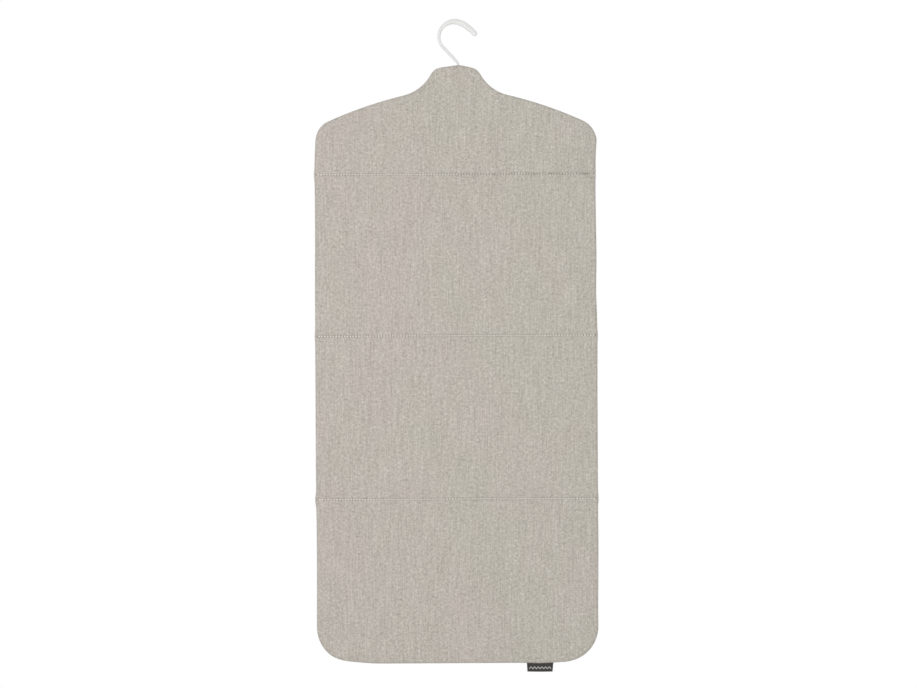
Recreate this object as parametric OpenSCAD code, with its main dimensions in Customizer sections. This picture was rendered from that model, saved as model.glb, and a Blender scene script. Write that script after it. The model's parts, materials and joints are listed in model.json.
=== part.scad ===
// Hanging shirt board: four padded, fabric-covered panels joined by three sewn folds,
// hung from a swivelling hook.
// The board stands in the XZ plane and faces -Y. The origin is the centre of the hook's
// hanging seat, and +Z is up.

/* [Board] */
// Width of the board
board_w = 400; // [396:1:404]
// How far the board's centre line lies to the right of the hanging seat
board_x = 1.8; // [0:0.1:3]
// Height of the first fold seam below the centre of the hanging seat
seam_1_drop = 194.5; // [193:0.5:196]
// Height of the upper panel, from the first seam to the second
upper_h = 229; // [227:0.5:231]
// Height of the middle panel, from the second seam to the third
middle_h = 231.5; // [230:0.5:234]
// Height of the lower panel, from the third seam to the bottom edge
lower_h = 233; // [230:0.5:234]
// Radius of the two bottom corners
bottom_r = 53; // [40:1:60]

/* [Shoulders and neck] */
// Height of the neck's top above the first seam
neck_top = 154; // [153.5:0.5:154.5]
// Radius of the crown along the neck's top edge
crown_r = 92; // [85:1:100]
// Radius of the neck's two corners
neck_r = 17.6; // [17:0.1:18.2]
// Direction of the outline's normal where the crown meets the neck's corner
crown_angle = 75; // [74:1:77]
// Direction of the outline's normal along the neck's straight side
neck_angle = 32; // [31:1:34]
// Length of the neck's straight side
neck_side = 5.4; // [4.5:0.1:6]
// Radius of the hollow curve from the neck into the shoulder
flare_r = 60; // [57:1:62]
// Direction of the outline's normal where the hollow curve meets the shoulder's slope
flare_angle = 76.5; // [75.5:0.5:77.5]
// Radius of the long shoulder slope
slope_r = 600; // [580:10:640]
// Radius of the shoulder's outer corner
shoulder_r = 32; // [29:1:35]

/* [Layers] */
// Thickness of the whole board
board_t = 8; // [7.6:0.1:9]
// Thickness of the covers' fabric
cover_t = 0.8; // [0.6:0.1:1]
// Thickness of the stiffener boards
stiffener_t = 2.4; // [2:0.1:2.6]
// Thickness of the heat-reflecting foil
foil_t = 0.2; // [0.15:0.05:0.3]
// Gap between the covers' side walls and the padding
layer_gap = 0.3; // [0.2:0.1:0.6]
// How far the foil and the stiffener boards are set in from the board's edge
stiffener_inset = 4; // [3:0.5:5]

/* [Folds] */
// Distance from a fold's seam to the edges of the panels beside it
fold_half = 5; // [4.5:0.5:6]
// Distance from the stitch line's fabric to the middle of the board
pinch = 0.8; // [0.6:0.1:1]
// Thickness of the sewing thread
thread_t = 0.5; // [0.3:0.1:0.6]
// Gap between two panels' faces when they are folded flat on each other
folded_gap = 0.5; // [0.4:0.1:0.8]

/* [Hook] */
// Radius of the hanging seat, the inside of the hook
seat_r = 18.2; // [17.8:0.1:18.5]
// Radius of the hook's outer edge
outer_r = 24.8; // [24.6:0.1:25]
// How far the centre of the hook's outer edge lies to the right of the seat
outer_dx = 2.2; // [2:0.1:2.4]
// How far the centre of the hook's outer edge lies above the seat
outer_dz = 1; // [0.8:0.1:1.2]
// Width of the hook from front to back
hook_w = 5; // [4.4:0.1:5.4]
// Radius of the rounding along the hook's edges
hook_edge = 1.5; // [1:0.1:1.8]
// Distance of the shank's axis to the right of the seat
shank_x = 6.8; // [6.4:0.1:7.2]
// Radius of the shank
shank_r = 1.6; // [1.5:0.05:1.6]
// Radius of the upset head at the shank's lower end
head_r = 2.8; // [2.4:0.1:2.9]
// Height of the upset head
head_h = 1.5; // [1:0.1:2]

/* [Anchor] */
// Length of the barrel that the shank turns in
barrel_h = 28; // [26:1:29]
// Outer radius of the barrel
barrel_r = 3; // [2.8:0.1:3]
// Running clearance around the shank, on the radius
running_gap = 0.05; // [0.03:0.01:0.08]
// Width of the anchor's plate
plate_w = 40; // [36:1:41]
// Height of the anchor's plate
plate_h = 20; // [18:1:21]
// Thickness of the anchor's plate
plate_t = 1.4; // [1.2:0.1:1.6]
// Sideways distance between the rivets
rivet_dx = 26; // [24:1:28]
// Vertical distance between the rivets
rivet_dz = 10; // [9:1:11]
// Radius of the rivets' shanks
rivet_r = 1.5; // [1.2:0.1:1.6]
// Thickness of the washer above the upset head
washer_t = 0.8; // [0.6:0.1:1]

/* [Label] */
// Width of the side label
label_w = 37; // [30:1:42]
// How far the label hangs below the bottom edge
label_h = 11.5; // [9:0.5:13]
// Thickness of the folded label
label_t = 1; // [0.8:0.1:1.2]
// Distance of the label's middle to the right of the board's centre line
label_x = 117; // [105:1:122]

/* [Hidden] */
$fn = 64;

// Colours
cover_colour = [0.74, 0.72, 0.68];
padding_colour = [0.93, 0.92, 0.88];
foil_colour = [0.78, 0.79, 0.8];
stiffener_colour = [0.5, 0.36, 0.24];
thread_colour = [0.86, 0.84, 0.79];
hook_colour = [0.93, 0.93, 0.92];
anchor_colour = [0.3, 0.31, 0.32];
rivet_colour = [0.75, 0.75, 0.76];
washer_colour = [0.55, 0.55, 0.57];
label_colour = [0.16, 0.14, 0.13];

// Panels, numbered from the top
SHOULDER = 0;
UPPER = 1;
MIDDLE = 2;
LOWER = 3;

// Heights of the three fold seams and of the bottom edge
seam_z = [
    -seam_1_drop,
    -seam_1_drop - upper_h,
    -seam_1_drop - upper_h - middle_h,
];
bottom_z = seam_z[2] - lower_h;
neck_z = seam_z[0] + neck_top;

// Faces of the layers, from front to back
half_t = board_t / 2;
inner_face = half_t - cover_t;
stiffener_front = inner_face - stiffener_t;
foil_front = stiffener_front - foil_t;

// Heights of the anchor and of what holds the shank in it, from the neck's seam down
barrel_depth = 3.5;
plate_raise = 2;
washer_gap = 0.2;
recess_gap = 3;
barrel_z = neck_z - barrel_depth - barrel_h;
plate_z = barrel_z + plate_raise;
head_top = barrel_z - washer_gap - washer_t;
head_z = head_top - head_h;
recess_z = head_z - recess_gap;

// How far a cut runs past the face that it opens
past = 1;

// Segments in each arc of the outline
shoulder_steps = 12;
slope_steps = 16;
flare_steps = 10;
neck_steps = 6;
crown_steps = 4;
bottom_steps = 14;

function direction(a) = [cos(a), sin(a)];
function arc(centre, r, from, to, steps) =
    [for (i = [0:steps]) centre + r * direction(from + (to - from) * i / steps)];

// Centres of the shoulder outline's arcs, each tangent to the next, with the first seam at height 0
crown_centre = [0, neck_top - crown_r];
neck_centre = crown_centre + (crown_r - neck_r) * direction(crown_angle);
neck_foot = neck_centre + neck_r * direction(neck_angle) - neck_side * direction(neck_angle + 90);
flare_centre = neck_foot + flare_r * direction(neck_angle);
slope_centre = flare_centre - (flare_r + slope_r) * direction(flare_angle);
shoulder_angle = acos((board_w / 2 - shoulder_r - slope_centre.x) / (slope_r - shoulder_r));
shoulder_centre = slope_centre + (slope_r - shoulder_r) * direction(shoulder_angle);

// The shoulder panel's right-hand side from the fold up to the crown, set in by inset,
// starting gap above the seam
function shoulder_side(inset, gap) = concat(
    [[board_w / 2 - inset, gap]],
    arc(shoulder_centre, shoulder_r - inset, 0, shoulder_angle, shoulder_steps),
    arc(slope_centre, slope_r - inset, shoulder_angle, flare_angle, slope_steps),
    arc(flare_centre, flare_r + inset, flare_angle + 180, neck_angle + 180, flare_steps),
    arc(neck_centre, neck_r - inset, neck_angle, crown_angle, neck_steps),
    arc(crown_centre, crown_r - inset, crown_angle, 90, crown_steps));

// The lower panel's right-hand side from the fold down to the bottom edge, with the bottom edge at height 0
function lower_side(inset, gap) = concat(
    [[board_w / 2 - inset, lower_h - gap]],
    arc([board_w / 2 - bottom_r, bottom_r], bottom_r - inset, 0, -90, bottom_steps));

// A closed outline from its right-hand side, raised by z. A point on the centre line isn't repeated.
on_centre = 0.001;
function both_sides(side, z) = concat(
    [for (p = side) [p.x, p.y + z]],
    [for (i = [len(side) - 1:-1:0]) if (side[i].x > on_centre) [-side[i].x, side[i].y + z]]);

function straight_outline(top, bottom, inset) = let (x = board_w / 2 - inset)
    [[x, bottom], [x, top], [-x, top], [-x, bottom]];

// Outline of a panel, set in by inset at its free edges, and ending gap away from its fold seams
function panel_outline(panel, inset, gap) =
    panel == SHOULDER ? both_sides(shoulder_side(inset, gap), seam_z[0]) :
    panel == LOWER ? both_sides(lower_side(inset, gap), bottom_z) :
    straight_outline(seam_z[panel - 1] - gap, seam_z[panel] + gap, inset);

// A flat layer of a panel between two distances from the board's middle
module layer(panel, inset, gap, front, back) {
    translate([board_x, back, 0])
        rotate([90, 0, 0])
            linear_extrude(back - front)
                polygon(panel_outline(panel, inset, gap));
}

// The hole that the hook's shank passes through in the neck's seam
module shank_hole() {
    hole_gap = 0.5;
    hole_h = 6;
    translate([shank_x, 0, neck_z - hole_h / 2])
        cylinder(r = shank_r + hole_gap, h = hole_h);
}

// The recess around the hook's anchor, cut out of the soft layers
module anchor_recess() {
    side_gap = 1.5;
    translate([shank_x - plate_w / 2 - side_gap, -half_t, recess_z])
        cube([plate_w + 2 * side_gap, board_t, neck_z + past - recess_z]);
}

// The slot in the stiffener for the anchor's barrel and the shank's head
module barrel_slot() {
    slot_w = 9;
    translate([shank_x - slot_w / 2, -half_t, recess_z])
        cube([slot_w, board_t, neck_z + past - recess_z]);
}

// A cover is a shallow fabric tray, open at its folds. The two trays of a panel meet at the
// board's side seam.
module front_cover(panel) {
    color(cover_colour)
        difference() {
            layer(panel, 0, fold_half, -half_t, 0);
            layer(panel, cover_t, fold_half - past, -inner_face, past);
            if (panel == SHOULDER) shank_hole();
        }
}

module back_cover(panel) {
    color(cover_colour)
        difference() {
            layer(panel, 0, fold_half, 0, half_t);
            layer(panel, cover_t, fold_half - past, -past, inner_face);
            if (panel == SHOULDER) shank_hole();
        }
}

module padding(panel) {
    color(padding_colour)
        difference() {
            layer(panel, cover_t + layer_gap, fold_half, -inner_face, foil_front);
            if (panel == SHOULDER) anchor_recess();
        }
}

module heat_foil(panel) {
    color(foil_colour)
        difference() {
            layer(panel, stiffener_inset, fold_half, foil_front, stiffener_front);
            if (panel == SHOULDER) anchor_recess();
        }
}

module stiffener(panel) {
    color(stiffener_colour)
        difference() {
            layer(panel, stiffener_inset, fold_half, stiffener_front, inner_face);
            if (panel == SHOULDER) {
                barrel_slot();
                rivet_places() rivet_cut();
            }
        }
}

// A strip along a fold, extruded from its section. The section's points are distances from the
// board's middle and heights above the seam.
module fold_strip(seam, section, width) {
    translate([board_x - width / 2, 0, seam_z[seam - 1]])
        rotate([90, 0, 90])
            linear_extrude(width)
                polygon(section);
}

// The covers' fabric is drawn in along each fold by the line of stitches, which lies in a flat
// as wide as the thread
function fold_section(side) = [
    [side * half_t, -fold_half],
    [side * (pinch + cover_t), -thread_t / 2],
    [side * (pinch + cover_t), thread_t / 2],
    [side * half_t, fold_half],
    [side * inner_face, fold_half],
    [side * pinch, 0],
    [side * inner_face, -fold_half],
];

module front_fold(seam) {
    color(cover_colour) fold_strip(seam, fold_section(-1), board_w);
}

module back_fold(seam) {
    color(cover_colour) fold_strip(seam, fold_section(1), board_w);
}

// The padding that bridges a fold, squeezed flat under the stitches
module fold_padding(seam) {
    slack = 0.1;
    far = inner_face - slack;
    near = pinch - slack;
    end = fold_half - slack;
    color(padding_colour)
        fold_strip(
            seam,
            [[-far, -end], [-near, 0], [-far, end], [far, end], [near, 0], [far, -end]],
            board_w - 2 * (cover_t + layer_gap));
}

// The thread lies along the valley of a fold, in front and behind
module fold_stitching(seam) {
    low = pinch + cover_t;
    color(thread_colour)
        for (side = [-1, 1])
            translate([board_x, side * (low + thread_t / 2), seam_z[seam - 1]])
                cube([board_w, thread_t, thread_t], center = true);
}

module anchor_block() {
    translate([shank_x, 0, barrel_z])
        cylinder(r = barrel_r, h = barrel_h);
    translate([shank_x - plate_w / 2, stiffener_front - plate_t, plate_z])
        cube([plate_w, plate_t, plate_h]);
}

module hook_anchor() {
    color(anchor_colour)
        difference() {
            anchor_block();
            translate([shank_x, 0, barrel_z - past])
                cylinder(r = shank_r + running_gap, h = barrel_h + 2 * past);
            rivet_places() rivet_cut();
        }
}

// The four rivets that hold the anchor's plate to the stiffener
module rivet_places() {
    for (sx = [-1, 1], sz = [-1, 1])
        translate([shank_x + sx * rivet_dx / 2, 0, plate_z + plate_h / 2 + sz * rivet_dz / 2])
            children();
}

module along_y(r, from, to) {
    translate([0, to, 0])
        rotate([90, 0, 0])
            cylinder(r = r, h = to - from);
}

module rivet_cut() {
    along_y(rivet_r, -half_t, half_t);
}

module anchor_rivets() {
    rivet_head_r = 2 * rivet_r;
    rivet_head_t = 0.8;
    plate_front = stiffener_front - plate_t;
    color(rivet_colour)
        rivet_places() {
            along_y(rivet_r, plate_front - rivet_head_t, inner_face);
            along_y(rivet_head_r, plate_front - rivet_head_t, plate_front);
        }
}

module hook_washer() {
    color(washer_colour)
        translate([shank_x, 0, head_top])
            difference() {
                cylinder(r = barrel_r, h = washer_t);
                translate([0, 0, -past])
                    cylinder(r = shank_r + running_gap, h = washer_t + 2 * past);
            }
}

// The hook's round part runs between these two directions from the seat's centre
crescent_start = 60;
crescent_end = 225;

// Pads along the hook's flat end, and balls along its run down to the shank. Each has its
// distance to the right of the seat, its height above the seat and its radius.
tip_pads = [[11.2, 19.5, 4.2], [17.5, 16, 4.1], [30.2, 5, 3.75]];
run_balls = [
    [-14.4, -14.4, 2.1],
    [-2, -27.5, 2.2],
    [3.2, -33.4, 1.95],
    [5.7, -36.4, 1.7],
    [shank_x, -39.4, shank_r],
];
facets = 24;

// A quarter round of radius edge in four steps, from the flat face towards the rim
edge_steps = 4;
function edge_in(i) = hook_edge * (1 - sin(90 * i / edge_steps));
function edge_down(i) = hook_edge * (1 - cos(90 * i / edge_steps));

// Section of a disc of radius r with rounded edges
function rim_section(r, w) = concat(
    [[0, -w]],
    [for (i = [0:edge_steps]) [r - edge_in(i), -w + edge_down(i)]],
    [for (i = [edge_steps:-1:0]) [r - edge_in(i), w - edge_down(i)]],
    [[0, w]]);

// Section of the cutter for the hook's inside: a plain cylinder of radius r that flares towards both faces
function seat_section(r, w) = concat(
    [[0, -w - past], [r + hook_edge, -w - past]],
    [for (i = [0:edge_steps]) [r + edge_in(i), -w + edge_down(i)]],
    [for (i = [edge_steps:-1:0]) [r + edge_in(i), w - edge_down(i)]],
    [[r + hook_edge, w + past], [0, w + past]]);

// The sector of the plane that the hook's round part fills
function crescent_sector() = let (reach = 2 * outer_r, turn = crescent_end - crescent_start, steps = 3)
    concat([[0, 0]], [for (i = [0:steps]) reach * direction(crescent_start + turn * i / steps)]);

module about_y() {
    rotate([90, 0, 0]) rotate_extrude() children();
}

// The hook's round part, which thickens from the run's side to the flat end's side
module crescent() {
    intersection() {
        difference() {
            translate([outer_dx, 0, outer_dz])
                about_y() polygon(rim_section(outer_r, hook_w / 2));
            about_y() polygon(seat_section(seat_r, hook_w / 2));
        }
        translate([0, hook_w, 0])
            rotate([90, 0, 0])
                linear_extrude(2 * hook_w)
                    polygon(crescent_sector());
    }
}

// A round pad as wide as the hook, with a chamfer in place of its rounded edge
module tip_pad(p) {
    translate([p.x, 0, p.y])
        rotate([90, 0, 0]) {
            cylinder(r = p.z, h = hook_w - 2 * hook_edge, center = true, $fn = facets);
            cylinder(r = p.z - hook_edge, h = hook_w, center = true, $fn = facets);
        }
}

module run_ball(p) {
    translate([p.x, 0, p.y]) sphere(r = p.z, $fn = facets);
}

module hook() {
    color(hook_colour) {
        crescent();
        for (i = [1:len(tip_pads) - 1])
            hull() {
                tip_pad(tip_pads[i - 1]);
                tip_pad(tip_pads[i]);
            }
        for (i = [1:len(run_balls) - 1])
            hull() {
                run_ball(run_balls[i - 1]);
                run_ball(run_balls[i]);
            }
        translate([shank_x, 0, head_z]) {
            cylinder(r = shank_r, h = run_balls[len(run_balls) - 1].y - head_z);
            cylinder(r = head_r, h = head_h);
        }
    }
}

module label_tab() {
    color(label_colour)
        translate([board_x + label_x - label_w / 2, -label_t / 2, bottom_z - label_h])
            cube([label_w, label_t, label_h]);
}

hook();
hook_washer();
hook_anchor();
anchor_rivets();
front_cover(SHOULDER);  // front_cover_shoulder
padding(SHOULDER);  // padding_shoulder
heat_foil(SHOULDER);  // heat_foil_shoulder
stiffener(SHOULDER);  // stiffener_shoulder
back_cover(SHOULDER);  // back_cover_shoulder
front_cover(UPPER);  // front_cover_upper
padding(UPPER);  // padding_upper
heat_foil(UPPER);  // heat_foil_upper
stiffener(UPPER);  // stiffener_upper
back_cover(UPPER);  // back_cover_upper
front_cover(MIDDLE);  // front_cover_middle
padding(MIDDLE);  // padding_middle
heat_foil(MIDDLE);  // heat_foil_middle
stiffener(MIDDLE);  // stiffener_middle
back_cover(MIDDLE);  // back_cover_middle
front_cover(LOWER);  // front_cover_lower
padding(LOWER);  // padding_lower
heat_foil(LOWER);  // heat_foil_lower
stiffener(LOWER);  // stiffener_lower
back_cover(LOWER);  // back_cover_lower
front_fold(1);  // front_fold_1
fold_padding(1);  // fold_padding_1
back_fold(1);  // back_fold_1
fold_stitching(1);  // fold_stitching_1
front_fold(2);  // front_fold_2
fold_padding(2);  // fold_padding_2
back_fold(2);  // back_fold_2
fold_stitching(2);  // fold_stitching_2
front_fold(3);  // front_fold_3
fold_padding(3);  // fold_padding_3
back_fold(3);  // back_fold_3
fold_stitching(3);  // fold_stitching_3
label_tab();
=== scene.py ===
"""Looks of a hanging shirt board: four padded panels in melange cloth, three sewn folds, a white hook."""

import json
import math

import bmesh
import bpy
import numpy as np
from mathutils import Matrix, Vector, geometry, noise


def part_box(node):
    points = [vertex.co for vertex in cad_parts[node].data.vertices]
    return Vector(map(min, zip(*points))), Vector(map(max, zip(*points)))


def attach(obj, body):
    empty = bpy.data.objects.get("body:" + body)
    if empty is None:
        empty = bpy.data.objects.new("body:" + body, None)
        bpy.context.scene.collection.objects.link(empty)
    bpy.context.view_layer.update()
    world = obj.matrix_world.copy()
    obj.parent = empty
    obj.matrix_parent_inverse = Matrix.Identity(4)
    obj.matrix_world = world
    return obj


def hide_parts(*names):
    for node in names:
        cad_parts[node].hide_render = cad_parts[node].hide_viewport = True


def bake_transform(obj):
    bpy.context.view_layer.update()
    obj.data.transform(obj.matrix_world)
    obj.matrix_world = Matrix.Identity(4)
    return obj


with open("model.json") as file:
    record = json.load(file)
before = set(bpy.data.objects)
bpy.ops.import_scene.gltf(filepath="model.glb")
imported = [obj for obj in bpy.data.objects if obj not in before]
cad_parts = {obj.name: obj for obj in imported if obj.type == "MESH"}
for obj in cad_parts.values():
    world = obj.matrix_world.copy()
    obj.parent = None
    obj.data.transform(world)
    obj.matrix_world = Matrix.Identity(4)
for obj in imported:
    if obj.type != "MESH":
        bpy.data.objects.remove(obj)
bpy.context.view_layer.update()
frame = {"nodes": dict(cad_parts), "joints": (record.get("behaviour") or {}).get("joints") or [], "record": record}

MM = 0.001
PANELS = ["shoulder", "upper", "middle", "lower"]
SEAMS = [1, 2, 3]
SIDES = {"front": -1, "back": 1}

# ---------------------------------------------------------------- sizes that the frame gives

cover_low, cover_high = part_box("front_cover_upper")
board_x = (cover_low.x + cover_high.x) / 2
half_w = (cover_high.x - cover_low.x) / 2
half_t = -cover_low.y
inner_face = -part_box("padding_upper")[0].y
cover_t = half_t - inner_face
foil_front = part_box("heat_foil_upper")[0].y
fold_boxes = [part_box(f"front_fold_{seam}") for seam in SEAMS]
seam_z = [(low.z + high.z) / 2 for low, high in fold_boxes]
fold_half = (fold_boxes[0][1].z - fold_boxes[0][0].z) / 2
bottom_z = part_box("front_cover_lower")[0].z
neck_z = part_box("front_cover_shoulder")[1].z
hinge = {joint["name"]: Vector(joint["pos_m"]) for joint in frame["joints"]}
shank_x = hinge["hook_swivel"].x

# ---------------------------------------------------------------- the board's outline

BOTTOM_R = 53 * MM
CROWN_R = 92 * MM
NECK_R = 17.6 * MM
CROWN_ANGLE = 75
NECK_ANGLE = 32
NECK_SIDE = 5.4 * MM
FLARE_R = 60 * MM
FLARE_ANGLE = 76.5
SLOPE_R = 600 * MM
SHOULDER_R = 32 * MM


def direction(degrees):
    a = math.radians(degrees)
    return np.array([math.cos(a), math.sin(a)])


crown_centre = np.array([0, neck_z - CROWN_R])
neck_centre = crown_centre + (CROWN_R - NECK_R) * direction(CROWN_ANGLE)
neck_foot = neck_centre + NECK_R * direction(NECK_ANGLE) - NECK_SIDE * direction(NECK_ANGLE + 90)
flare_centre = neck_foot + FLARE_R * direction(NECK_ANGLE)
slope_centre = flare_centre - (FLARE_R + SLOPE_R) * direction(FLARE_ANGLE)
shoulder_angle = math.degrees(math.acos((half_w - SHOULDER_R - slope_centre[0]) / (SLOPE_R - SHOULDER_R)))
shoulder_centre = slope_centre + (SLOPE_R - SHOULDER_R) * direction(shoulder_angle)


def arc(centre, radius, start, end, spacing):
    """An arc between two directions in degrees. Its steps are about spacing long on the outline."""
    steps = max(2, round(abs(math.radians(end - start)) * radius / spacing))
    return steps, centre, start, end


def arc_points(spec, radius):
    steps, centre, start, end = spec
    a = np.radians(np.linspace(start, end, steps + 1))
    return np.column_stack([centre[0] + radius * np.cos(a), centre[1] + radius * np.sin(a)])


def line_points(a, b, steps):
    t = np.linspace(0, 1, steps + 1)[:, None]
    return np.array(a) * (1 - t) + np.array(b) * t


EDGE_STEP = 4 * MM
CORNER_STEP = 2.6 * MM
CROWN_STEP = 1.1 * MM
SHOULDER_ARC = arc(shoulder_centre, SHOULDER_R, 0, shoulder_angle, CORNER_STEP)
SLOPE_ARC = arc(slope_centre, SLOPE_R, shoulder_angle, FLARE_ANGLE, EDGE_STEP)
FLARE_ARC = arc(flare_centre, FLARE_R, FLARE_ANGLE + 180, NECK_ANGLE + 180, CORNER_STEP)
NECK_ARC = arc(neck_centre, NECK_R, NECK_ANGLE, CROWN_ANGLE, CORNER_STEP)
CROWN_ARC = arc(crown_centre, CROWN_R, CROWN_ANGLE, 90, CROWN_STEP)
BOTTOM_ARC = arc(np.array([half_w - BOTTOM_R, bottom_z + BOTTOM_R]), BOTTOM_R, 0, -90, CORNER_STEP)


def chain(*runs):
    """Joins runs of points, where each run starts at the last point of the run before."""
    return np.concatenate([runs[0]] + [run[1:] for run in runs[1:]])


def mirrored(points):
    return points[::-1] * np.array([-1, 1])


def steps_of(length, spacing):
    return max(1, round(length / spacing))


def shoulder_side(inset):
    """The shoulder panel's right-hand edge from its fold up to the crown's middle."""
    x = half_w - inset
    start = seam_z[0] + fold_half
    straight = line_points([x, start], [x, shoulder_centre[1]],
                           steps_of(shoulder_centre[1] - start, EDGE_STEP))
    neck = arc_points(NECK_ARC, NECK_R - inset)
    flare = arc_points(FLARE_ARC, FLARE_R + inset)
    return chain(straight, arc_points(SHOULDER_ARC, SHOULDER_R - inset),
                 arc_points(SLOPE_ARC, SLOPE_R - inset), flare,
                 line_points(flare[-1], neck[0], 2), neck, arc_points(CROWN_ARC, CROWN_R - inset))


def lower_side(inset):
    """The lower panel's right-hand edge from its fold down and round to the bottom's middle."""
    x = half_w - inset
    start = seam_z[2] - fold_half
    corner = bottom_z + BOTTOM_R
    straight = line_points([x, start], [x, corner], steps_of(start - corner, EDGE_STEP))
    flat = half_w - BOTTOM_R
    floor = bottom_z + inset
    return chain(straight, arc_points(BOTTOM_ARC, BOTTOM_R - inset),
                 line_points([flat, floor], [0, floor], steps_of(flat, EDGE_STEP)))


def straight_side(panel, inset):
    """A middle panel's right-hand edge from its upper fold down to its lower fold."""
    x = half_w - inset
    k = PANELS.index(panel)
    top, bottom = seam_z[k - 1] - fold_half, seam_z[k] + fold_half
    return line_points([x, top], [x, bottom], steps_of(top - bottom, EDGE_STEP))


def free_edges(panel, inset):
    """The panel's free edges, set in by inset, each a run of points from right to left."""
    if panel in ("shoulder", "lower"):
        side = shoulder_side(inset) if panel == "shoulder" else lower_side(inset)
        return [chain(side, mirrored(side))]
    side = straight_side(panel, inset)
    return [side, mirrored(side)]


# ---------------------------------------------------------------- the shape of the cloth

# The side edges are not quite straight: height, spread and outward amount of each swell or dent
EDGE_SWELLS = {
    -1: [(-140, 26, -1.7), (-260, 70, -0.6), (-740, 90, -0.8)],
    1: [(-147, 13, 1.1), (-220, 75, -1.3), (-358, 30, -1.1), (-438, 42, 0.4), (-714, 25, 0.3),
        (-813, 34, -0.6)],
}
# The stitches push the cloth out at the ends of each seam: outward amount on the left and right
SEAM_ENDS = {1: (0.9, 0.3), 2: (0.7, 0.6), 3: (1.6, 0.8)}
SEAM_END_SPREAD = 8 * MM
EDGE_FADE = 18 * MM
# The cloth is lifted beside the hook's shank and hangs a little on the other side: place, spread, lift
CROWN_LIFTS = [(8, 9, 0.7), (-10, 8, -0.6)]
CROWN_FADE = 9 * MM
# The neck leans a little to the right
NECK_SWAY = 1.0 * MM
NECK_SWAY_FROM = -125 * MM
NECK_SWAY_OVER = 45 * MM
# The bottom edge is lifted towards its corners and pulled down at the label: place, spread, lift
BOTTOM_LIFTS = [(-158, 26, 3.0), (158, 24, 1.0), (118, 16, -0.7)]
BOTTOM_FADE = 14 * MM


def bell(distance, spread):
    return np.exp(-((distance / spread) ** 2))


def settled(x, z):
    """Where the flat layout's points lie on the real, slightly uneven board."""
    outward = np.zeros_like(x)
    for sign, swells in EDGE_SWELLS.items():
        for height, spread, amount in swells:
            outward += np.where(x * sign > 0, amount * MM * bell(z - height * MM, spread * MM), 0)
    for seam, amounts in SEAM_ENDS.items():
        for sign, amount in zip((-1, 1), amounts):
            reach = bell(z - seam_z[seam - 1], SEAM_END_SPREAD)
            outward += np.where(x * sign > 0, amount * MM * reach, 0)
    moved_x = x + np.sign(x) * outward * np.exp(-(half_w - np.abs(x)) / EDGE_FADE)
    lift = sum(amount * MM * bell(x + board_x - place * MM, spread * MM)
               for place, spread, amount in CROWN_LIFTS)
    raised = sum(amount * MM * bell(x - place * MM, spread * MM) for place, spread, amount in BOTTOM_LIFTS)
    moved_z = z + lift * np.exp(-np.maximum(neck_z - z, 0) / CROWN_FADE)
    sway = np.clip((z - NECK_SWAY_FROM) / NECK_SWAY_OVER, 0, 1)
    moved_x = moved_x + NECK_SWAY * sway * sway * (3 - 2 * sway)
    return moved_x + board_x, moved_z + raised * np.exp(-np.maximum(z - bottom_z, 0) / BOTTOM_FADE)


VALLEY_DEPTH = 1.25 * MM
VALLEY_WIDTH = 2.0 * MM
# The front sinks into its padding between swells, and the back lies on its stiffener. No side stands
# out by more than FOLD_ROOM, so that two panels that are folded together only just touch.
SINK = {"front": 0.4 * MM, "back": 0.0}
FOLD_ROOM = 0.2 * MM
SWELL_HEIGHT = {"front": 0.6 * MM, "back": 0.12 * MM}
SWELL_PITCH = 75 * MM
PUCKER_HEIGHT = {"front": 0.22 * MM, "back": 0.14 * MM}
PUCKER_PITCH = 13 * MM
PUCKER_REACH = 16 * MM


def smooth_noise(x, z, pitch, layer):
    """Noise from -1 to 1 at each point, with bumps about pitch apart."""
    return np.array([noise.noise(Vector((a / pitch, b / pitch, layer))) for a, b in zip(x, z)])


def to_seams(z):
    """Distance from the nearest fold seam."""
    return np.min([np.abs(z - s) for s in seam_z], axis=0)


def cloth_height(side, x, z):
    """How far the cloth's outside lies from the board's middle, away from its free edges."""
    away = to_seams(z)
    valley = VALLEY_DEPTH / (1 + (away / VALLEY_WIDTH) ** 2) ** 1.5
    layer = 3 if side == "front" else 11
    swell = SWELL_HEIGHT[side] * (0.5 + smooth_noise(x, z, SWELL_PITCH, layer))
    pucker = PUCKER_HEIGHT[side] * (0.6 + smooth_noise(x, z / 3, PUCKER_PITCH, layer + 2))
    soft = np.maximum(swell + pucker * np.exp(-away / PUCKER_REACH), 0) * (1 - bell(away, 2 * VALLEY_WIDTH))
    return half_t - SINK[side] - valley + held_in(soft, FOLD_ROOM + SINK[side])


def held_in(rise, room):
    """A rise made less, smoothly, so that it never reaches room."""
    return room * (1 - np.exp(-rise / room))


# The rolled edge: inset and share of the cloth's height at each ring, from the face to the side seam
ROLL = 4.2 * MM
ROLL_TURNS = [0, 16, 32, 47, 61, 73, 82]
rings = [(9 * MM, 1.0), (6.4 * MM, 1.0)]
rings += [(ROLL * (1 - math.sin(math.radians(a))), math.cos(math.radians(a))) for a in ROLL_TURNS]
rings += [(0.1 * MM, 0.07), (0.55 * MM, 0.0)]
FLAT_RING = 2


def roll_lengths():
    """Length of cloth from the start of the roll out to each ring."""
    lengths = []
    for k, (inset, share) in enumerate(rings):
        if k <= FLAT_RING:
            lengths.append(rings[FLAT_RING][0] - inset)
            continue
        last_inset, last_share = rings[k - 1]
        step = math.hypot(inset - last_inset, (share - last_share) * half_t)
        lengths.append(lengths[-1] + step)
    return lengths


ring_lengths = roll_lengths()

# ---------------------------------------------------------------- meshes


def linked(name, data):
    """A new object of the scene."""
    obj = bpy.data.objects.new(name, data)
    bpy.context.scene.collection.objects.link(obj)
    return obj


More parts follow.
